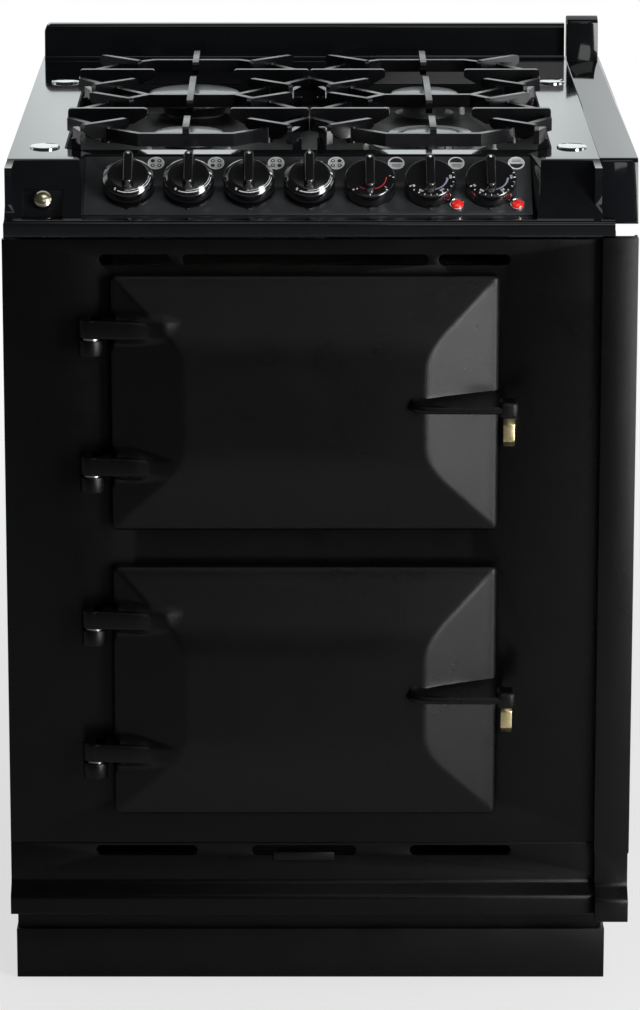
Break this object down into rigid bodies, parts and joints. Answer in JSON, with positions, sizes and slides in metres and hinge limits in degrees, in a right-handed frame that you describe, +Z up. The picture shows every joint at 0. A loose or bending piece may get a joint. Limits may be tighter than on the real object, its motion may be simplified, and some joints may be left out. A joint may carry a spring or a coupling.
{
  "type": "dual fuel range cooker",
  "caption": "Free-standing cast-iron range cooker with a gas hob, sloping knob panel and two stacked ovens behind domed hinged doors.",
  "frame": {"origin": "on the floor, below the middle of the front plate, in the plane of its front face", "axes": "+X to the right seen from the front, +Y towards the back, +Z up"},
  "size_m": [0.6253, 0.735, 0.8987],
  "materials": {
    "black_enamel": "gloss",
    "satin_enamel": "satin",
    "hob_enamel": "gloss",
    "panel_enamel": "satin",
    "side_paint": "satin",
    "plinth_paint": "satin",
    "cast_black": "matte",
    "cap_enamel": "matte",
    "galvanised": "satin",
    "bright_steel": "satin",
    "element_steel": "matte",
    "chrome": "polished",
    "brass": "satin",
    "button_brass": "polished",
    "burner_alloy": "satin",
    "pipe_alloy": "satin",
    "oven_enamel": "gloss",
    "mineral_wool": "matte",
    "rope_seal": "matte",
    "knob_plastic": "gloss",
    "neon_lens": "gloss",
    "white_ceramic": "satin"
  },
  "bodies": {
    "root": {"levelling_feet": "galvanised", "base_pan": "plinth_paint", "plinth": "plinth_paint", "side_panel_left": "side_paint", "side_panel_right": "side_paint", "rear_panel": "galvanised", "front_plate": "black_enamel", "skirt": "black_enamel", "skirt_tab": "satin_enamel", "side_post": "satin_enamel", "hob_casting": "hob_enamel", "side_strip": "hob_enamel", "fixing_caps": "chrome", "control_panel": "panel_enamel", "knob_bezels": "knob_plastic", "neon_lights": "neon_lens", "spill_tray": "hob_enamel", "burner_bodies": "burner_alloy", "burner_spreaders": "burner_alloy", "burner_caps": "cap_enamel", "burner_probes": "white_ceramic", "gas_manifold": "galvanised", "gas_taps": "brass", "gas_pipes": "pipe_alloy", "oven_controls": "galvanised", "spark_generator": "white_ceramic", "oven_liner_top": "oven_enamel", "oven_liner_bottom": "oven_enamel", "insulation": "mineral_wool", "shelf_runners": "chrome", "oven_shelves": "chrome", "grill_element": "element_steel", "fan_element": "element_steel", "fan_cover": "oven_enamel", "fan_motor": "galvanised", "terminal_box": "galvanised", "hinge_brackets": "satin_enamel", "hinge_pins": "bright_steel", "door_catches": "brass"},
    "door_top": {"door_top": "satin_enamel", "door_top_liner": "oven_enamel", "door_top_seal": "rope_seal"},
    "door_bottom": {"door_bottom": "satin_enamel", "door_bottom_liner": "oven_enamel", "door_bottom_seal": "rope_seal"},
    "fan_impeller": {"fan_impeller": "bright_steel"},
    "grill_knob": {"grill_knob": "knob_plastic"},
    "top_oven_knob": {"top_oven_knob": "knob_plastic"},
    "bottom_oven_knob": {"bottom_oven_knob": "knob_plastic"},
    "ignition_button": {"ignition_button": "button_brass"},
    "pan_support_left": {"pan_support_left": "cast_black"},
    "pan_support_right": {"pan_support_right": "cast_black"},
    "tap_stem_1": {"tap_stem_1": "brass"},
    "gas_knob_1": {"gas_knob_1": "knob_plastic"},
    "tap_stem_2": {"tap_stem_2": "brass"},
    "gas_knob_2": {"gas_knob_2": "knob_plastic"},
    "tap_stem_3": {"tap_stem_3": "brass"},
    "gas_knob_3": {"gas_knob_3": "knob_plastic"},
    "tap_stem_4": {"tap_stem_4": "brass"},
    "gas_knob_4": {"gas_knob_4": "knob_plastic"}
  },
  "joints": [
    {"name": "door_top_hinge", "type": "hinge", "parent": "root", "child": "door_top", "pos_m": [-0.2134, -0.017, 0.618], "axis": [0, 0, -1], "range_deg": [0, 115]},
    {"name": "door_bottom_hinge", "type": "hinge", "parent": "root", "child": "door_bottom", "pos_m": [-0.2134, -0.017, 0.323], "axis": [0, 0, -1], "range_deg": [0, 115]},
    {"name": "tap_push_1", "type": "slide", "parent": "root", "child": "tap_stem_1", "axis": [0, 0.6049, -0.7963], "range_m": [0, 0.005], "stiffness_N_per_m": 1000, "springref_m": -0.005},
    {"name": "gas_turn_1", "type": "hinge", "parent": "tap_stem_1", "child": "gas_knob_1", "pos_m": [-0.1782, 0.04137, 0.82217], "axis": [0, -0.6049, 0.7963], "range_deg": [0, 210]},
    {"name": "tap_push_2", "type": "slide", "parent": "root", "child": "tap_stem_2", "axis": [0, 0.6049, -0.7963], "range_m": [0, 0.005], "stiffness_N_per_m": 1000, "springref_m": -0.005},
    {"name": "gas_turn_2", "type": "hinge", "parent": "tap_stem_2", "child": "gas_knob_2", "pos_m": [-0.1188, 0.04137, 0.82217], "axis": [0, -0.6049, 0.7963], "range_deg": [0, 210]},
    {"name": "tap_push_3", "type": "slide", "parent": "root", "child": "tap_stem_3", "axis": [0, 0.6049, -0.7963], "range_m": [0, 0.005], "stiffness_N_per_m": 1000, "springref_m": -0.005},
    {"name": "gas_turn_3", "type": "hinge", "parent": "tap_stem_3", "child": "gas_knob_3", "pos_m": [-0.0594, 0.04137, 0.82217], "axis": [0, -0.6049, 0.7963], "range_deg": [0, 210]},
    {"name": "tap_push_4", "type": "slide", "parent": "root", "child": "tap_stem_4", "axis": [0, 0.6049, -0.7963], "range_m": [0, 0.005], "stiffness_N_per_m": 1000, "springref_m": -0.005},
    {"name": "gas_turn_4", "type": "hinge", "parent": "tap_stem_4", "child": "gas_knob_4", "pos_m": [0, 0.04137, 0.82217], "axis": [0, -0.6049, 0.7963], "range_deg": [0, 210]},
    {"name": "grill_turn", "type": "hinge", "parent": "root", "child": "grill_knob", "pos_m": [0.0594, 0.04137, 0.82217], "axis": [0, -0.6049, 0.7963], "range_deg": [-210, 0]},
    {"name": "top_oven_turn", "type": "hinge", "parent": "root", "child": "top_oven_knob", "pos_m": [0.1188, 0.04137, 0.82217], "axis": [0, -0.6049, 0.7963], "range_deg": [-270, 0]},
    {"name": "bottom_oven_turn", "type": "hinge", "parent": "root", "child": "bottom_oven_knob", "pos_m": [0.1782, 0.04137, 0.82217], "axis": [0, -0.6049, 0.7963], "range_deg": [-270, 0]},
    {"name": "ignition_push", "type": "slide", "parent": "root", "child": "ignition_button", "axis": [0, 0.848, -0.5299], "range_m": [0, 0.003], "stiffness_N_per_m": 1000, "springref_m": -0.003},
    {"name": "pan_support_left_lift", "type": "slide", "parent": "root", "child": "pan_support_left", "axis": [0, 0, 1], "range_m": [0, 0.06]},
    {"name": "pan_support_right_lift", "type": "slide", "parent": "root", "child": "pan_support_right", "axis": [0, 0, 1], "range_m": [0, 0.06]},
    {"name": "fan_spin", "type": "hinge", "parent": "root", "child": "fan_impeller", "pos_m": [-0.0045, 0.4095, 0.323], "axis": [0, -1, 0], "continuous": true}
  ]
}
